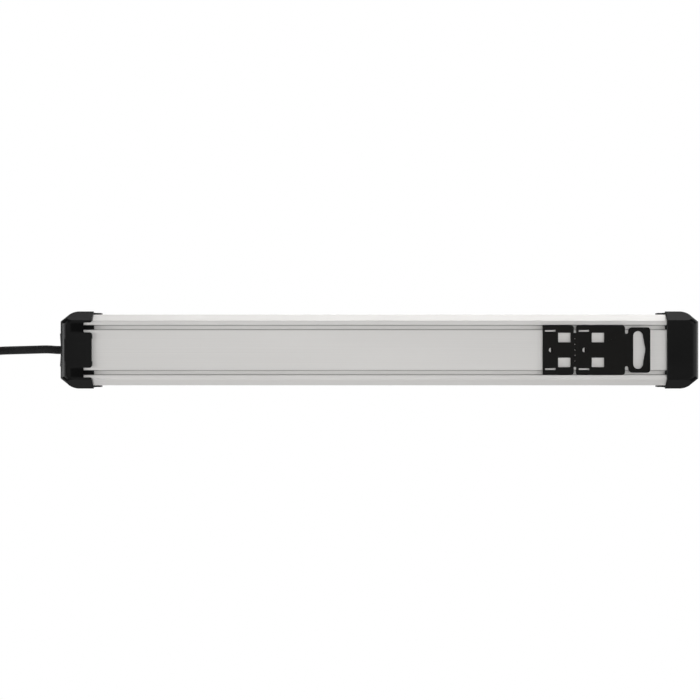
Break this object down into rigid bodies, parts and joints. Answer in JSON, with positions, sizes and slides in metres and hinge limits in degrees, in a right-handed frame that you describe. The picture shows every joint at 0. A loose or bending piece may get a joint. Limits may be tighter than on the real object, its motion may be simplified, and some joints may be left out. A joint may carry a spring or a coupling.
{
  "type": "desk power strip",
  "caption": "Aluminium desk power strip with black end caps, earthed shuttered sockets, a lit switch, a coiled mains lead and a clip card that slides in two back grooves.",
  "frame": {"origin": "middle of the strip, on the plane that the end caps' feet stand on", "axes": "+X along the strip away from the lead, +Z out of the sockets, +Y across"},
  "size_m": [0.724, 0.1102, 0.0523],
  "materials": {
    "anodised_aluminium": "satin anodised extrusion with fine drawing lines",
    "cap_plastic": "black moulded plastic with a fine grain",
    "cover_plastic": "black moulded plastic, fine eroded grain",
    "socket_plastic": "black moulded plastic, smoother",
    "clip_plastic": "black moulded plastic, slightly glossy",
    "shutter_plastic": "grey moulded plastic",
    "tray_plastic": "grey moulded plastic",
    "switch_plastic": "glossy black plastic",
    "rocker_plastic": "clear red plastic over a lamp",
    "lamp_glass": "small neon lamp",
    "contact_brass": "stamped brass",
    "plated_brass": "nickel plated brass",
    "screw_steel": "zinc plated steel",
    "cord_pvc": "matt black flexible sheath",
    "gland_plastic": "soft black plastic",
    "tie_strap": "black hook and loop strap",
    "plug_plastic": "black moulded plastic",
    "core_brown": "brown core insulation",
    "core_blue": "blue core insulation",
    "core_green": "green and yellow core insulation"
  },
  "bodies": {
    "strip": {"profile": "anodised_aluminium", "front_cover": "cover_plastic", "shutter_springs": "screw_steel", "base_tray": "tray_plastic", "live_bar": "contact_brass", "neutral_bar": "contact_brass", "earth_bar": "plated_brass", "switch_housing": "switch_plastic", "switch_lamp": "lamp_glass", "switch_terminals": "contact_brass", "cord_cap": "cap_plastic", "blank_cap": "cap_plastic", "cord_cap_screws": "screw_steel", "blank_cap_screws": "screw_steel", "cord_gland": "gland_plastic", "cord_sheath": "cord_pvc", "cord_clamp": "tray_plastic", "clamp_screws": "screw_steel", "wire_live": "core_brown", "wire_neutral": "core_blue", "wire_earth": "core_green", "earth_tag": "contact_brass", "earth_screw": "screw_steel", "cord_lead": "cord_pvc", "cord_coil": "cord_pvc", "cord_tail": "cord_pvc", "coil_ties": "tie_strap", "plug_boot": "plug_plastic", "plug_body": "plug_plastic", "plug_pins": "plated_brass", "plug_earth": "plated_brass", "socket_1": "socket_plastic", "socket_2": "socket_plastic", "socket_3": "socket_plastic", "socket_4": "socket_plastic", "socket_5": "socket_plastic", "socket_6": "socket_plastic"},
    "clip": {"clip_card": "clip_plastic"},
    "rocker": {"switch_rocker": "rocker_plastic"},
    "shutter_1": {"shutter_1": "shutter_plastic"},
    "shutter_2": {"shutter_2": "shutter_plastic"},
    "shutter_3": {"shutter_3": "shutter_plastic"},
    "shutter_4": {"shutter_4": "shutter_plastic"},
    "shutter_5": {"shutter_5": "shutter_plastic"},
    "shutter_6": {"shutter_6": "shutter_plastic"}
  },
  "joints": [
    {"name": "clip_slide", "type": "slide", "parent": "strip", "child": "clip", "axis": [1, 0, 0], "range_m": [-0.378, 0.0125]},
    {"name": "rocker_tilt", "type": "hinge", "parent": "strip", "child": "rocker", "pos_m": [-0.205, 0, 0.04], "axis": [0, 1, 0], "range_deg": [-18, 0]},
    {"name": "shutter_1_turn", "type": "hinge", "parent": "strip", "child": "shutter_1", "pos_m": [-0.138, 0, 0.0223], "axis": [0, 0, 1], "range_deg": [0, 42], "stiffness_Nm_per_rad": 0.001},
    {"name": "shutter_2_turn", "type": "hinge", "parent": "strip", "child": "shutter_2", "pos_m": [-0.072, 0, 0.0223], "axis": [0, 0, 1], "range_deg": [0, 42], "stiffness_Nm_per_rad": 0.001},
    {"name": "shutter_3_turn", "type": "hinge", "parent": "strip", "child": "shutter_3", "pos_m": [-0.006, 0, 0.0223], "axis": [0, 0, 1], "range_deg": [0, 42], "stiffness_Nm_per_rad": 0.001},
    {"name": "shutter_4_turn", "type": "hinge", "parent": "strip", "child": "shutter_4", "pos_m": [0.06, 0, 0.0223], "axis": [0, 0, 1], "range_deg": [0, 42], "stiffness_Nm_per_rad": 0.001},
    {"name": "shutter_5_turn", "type": "hinge", "parent": "strip", "child": "shutter_5", "pos_m": [0.126, 0, 0.0223], "axis": [0, 0, 1], "range_deg": [0, 42], "stiffness_Nm_per_rad": 0.001},
    {"name": "shutter_6_turn", "type": "hinge", "parent": "strip", "child": "shutter_6", "pos_m": [0.192, 0, 0.0223], "axis": [0, 0, 1], "range_deg": [0, 42], "stiffness_Nm_per_rad": 0.001}
  ]
}
